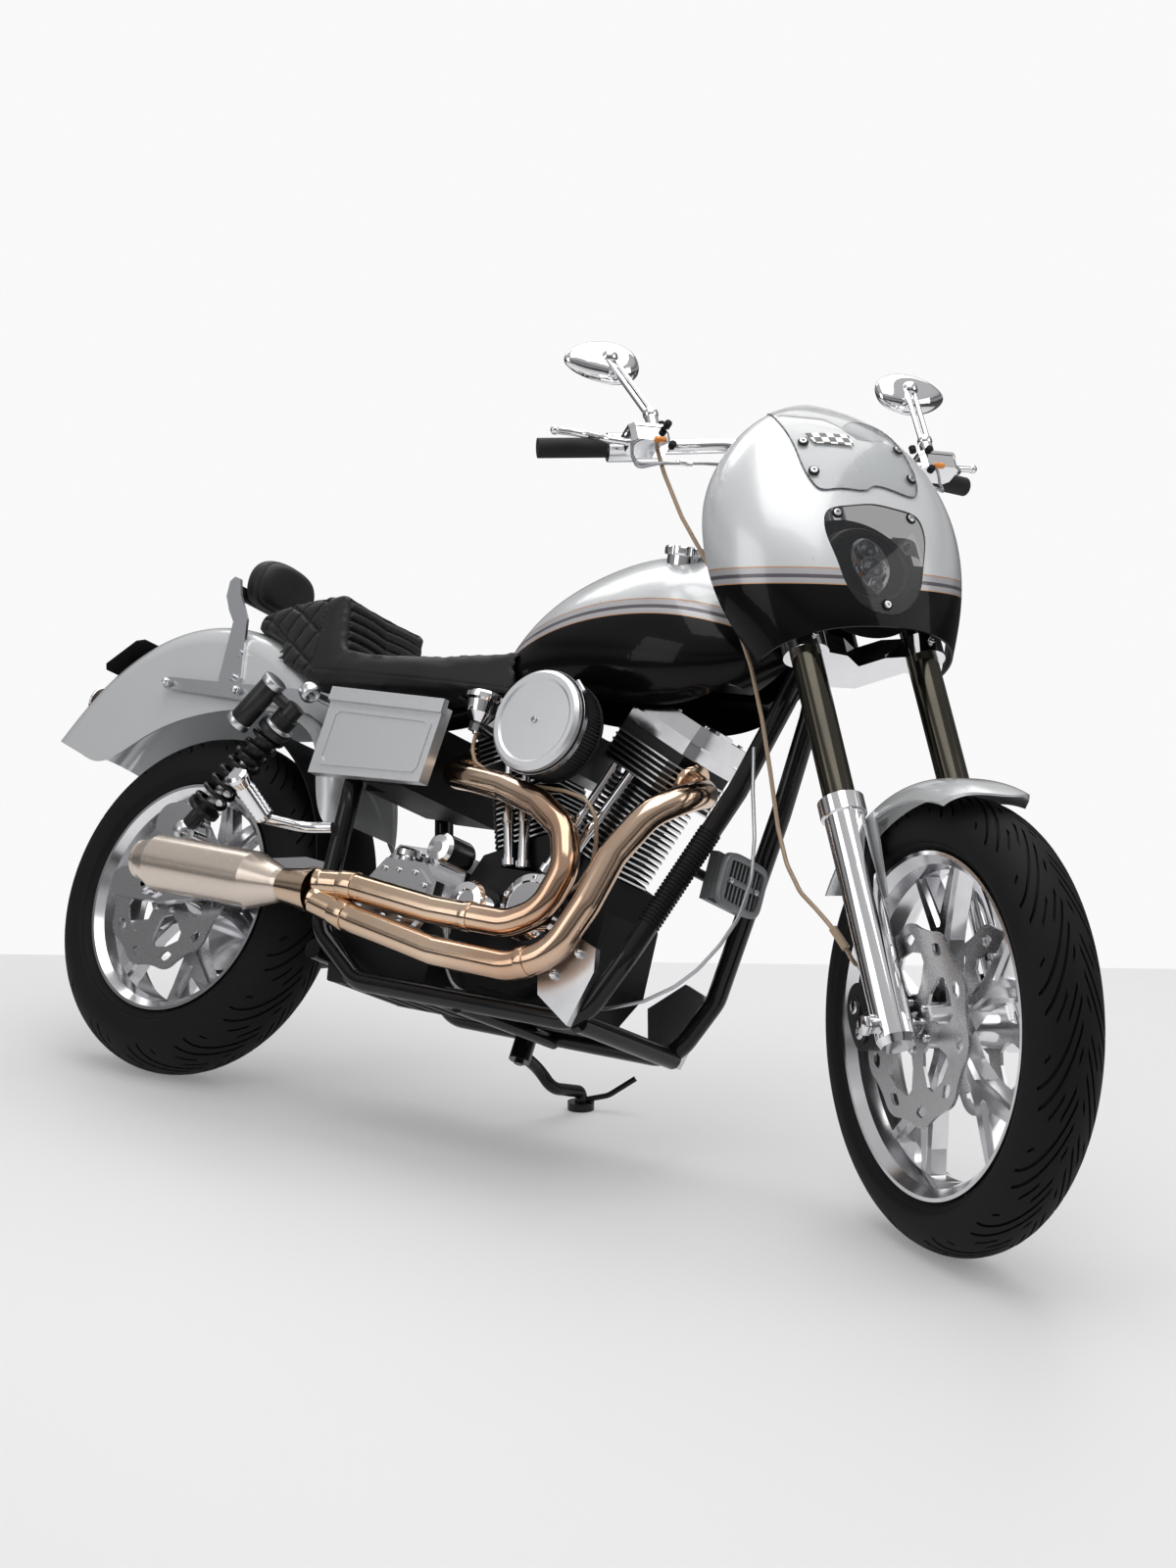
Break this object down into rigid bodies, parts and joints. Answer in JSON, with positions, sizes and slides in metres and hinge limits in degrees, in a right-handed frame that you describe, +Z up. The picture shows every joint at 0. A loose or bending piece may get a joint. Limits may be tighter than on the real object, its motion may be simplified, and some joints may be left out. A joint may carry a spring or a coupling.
{
  "type": "chopper motorcycle",
  "caption": "Twin-cylinder cruiser motorcycle with a fork-mounted quarter fairing, stepped seat and backrest, two-into-one exhaust and belt drive, parked on its side stand.",
  "frame": {"origin": "on the floor, below the middle of the box round the parked motorcycle", "axes": "+X forward along the machine, +Y to its left, +Z up"},
  "size_m": [2.3909, 1.0504, 1.3445],
  "materials": {
    "silver_paint": "metallic gloss",
    "black_paint": "gloss",
    "black_case": "satin",
    "black_fins": "satin",
    "polished": "polished",
    "chrome": "mirror",
    "silver_metal": "satin",
    "grey_metal": "matt",
    "black_metal": "satin",
    "dark_tube": "hard coated",
    "rotor_steel": "brushed",
    "brushed_disc": "brushed",
    "bronze_steel": "polished, heat tinted",
    "brushed_pipe": "brushed",
    "filter_mesh": "pleated",
    "black_leather": "stitched",
    "black_plastic": "satin",
    "dark_lens": "gloss",
    "belt_rubber": "matt",
    "grip_rubber": "ribbed",
    "smoked_glass": "smoked",
    "clear_glass": "clear",
    "lamp_chrome": "reflector",
    "tyre": "treaded",
    "tan_hose": "clear coated",
    "cable_sheath": "clear coated"
  },
  "bodies": {
    "chassis": {"frame": "black_paint", "crankcase": "black_case", "front_cylinder": "black_fins", "rear_cylinder": "black_fins", "rocker_covers": "polished", "pushrod_tubes": "chrome", "cam_cover": "chrome", "primary_cover": "chrome", "gearbox": "polished", "intake": "polished", "air_filter": "filter_mesh", "air_filter_cover": "brushed_disc", "exhaust_pipes": "bronze_steel", "muffler": "brushed_pipe", "fuel_tank": "silver_paint", "fuel_cap": "chrome", "rear_fender": "silver_paint", "seat": "black_leather", "sissy_bar": "silver_metal", "backrest_pad": "black_leather", "fender_struts": "silver_metal", "tail_light": "dark_lens", "plate_holder": "black_plastic", "swingarm": "polished", "rear_axle": "chrome", "shock_absorbers": "black_metal", "battery_box": "black_plastic", "side_cover": "brushed_disc", "horn_cover": "chrome", "regulator": "grey_metal", "rear_caliper": "polished", "passenger_pegs": "chrome", "peg_plates": "polished", "drive_belt": "belt_rubber", "oil_filter": "chrome", "breather_hose": "tan_hose", "clutch_cable": "cable_sheath"},
    "steering": {"front_axle": "chrome", "fork_sliders": "chrome", "stanchions": "dark_tube", "fork_yokes": "chrome", "front_calipers": "black_metal", "front_fender": "silver_paint", "handlebar": "chrome", "grips": "grip_rubber", "hand_controls": "chrome", "mirrors": "chrome", "fairing": "silver_paint", "lamp_window": "smoked_glass", "windscreen": "clear_glass", "headlamp": "lamp_chrome", "brake_hose": "tan_hose"},
    "front_wheel": {"front_tyre": "tyre", "front_rim": "chrome", "front_rotors": "rotor_steel"},
    "rear_wheel": {"rear_tyre": "tyre", "rear_rim": "chrome", "rear_rotor": "rotor_steel", "rear_pulley": "polished"},
    "side_stand": {"side_stand": "black_paint"}
  },
  "joints": [
    {"name": "steering", "type": "hinge", "parent": "chassis", "child": "steering", "pos_m": [0.84455, -0.2683, 0.29732], "axis": [-0.4911, 0.3446, 0.8], "range_deg": [0, 68]},
    {"name": "front_wheel_spin", "type": "hinge", "parent": "steering", "child": "front_wheel", "pos_m": [0.89293, -0.29192, 0.3372], "axis": [0.4871, 0.8701, -0.0757], "continuous": true},
    {"name": "rear_wheel_spin", "type": "hinge", "parent": "chassis", "child": "rear_wheel", "pos_m": [-0.74694, -0.26595, 0.30277], "axis": [0, 0.9184, -0.3955], "continuous": true},
    {"name": "side_stand_swing", "type": "hinge", "parent": "chassis", "child": "side_stand", "pos_m": [-0.01807, -0.18629, 0.14139], "axis": [-0.1268, 0.5843, 0.8016], "range_deg": [0, 80]}
  ]
}
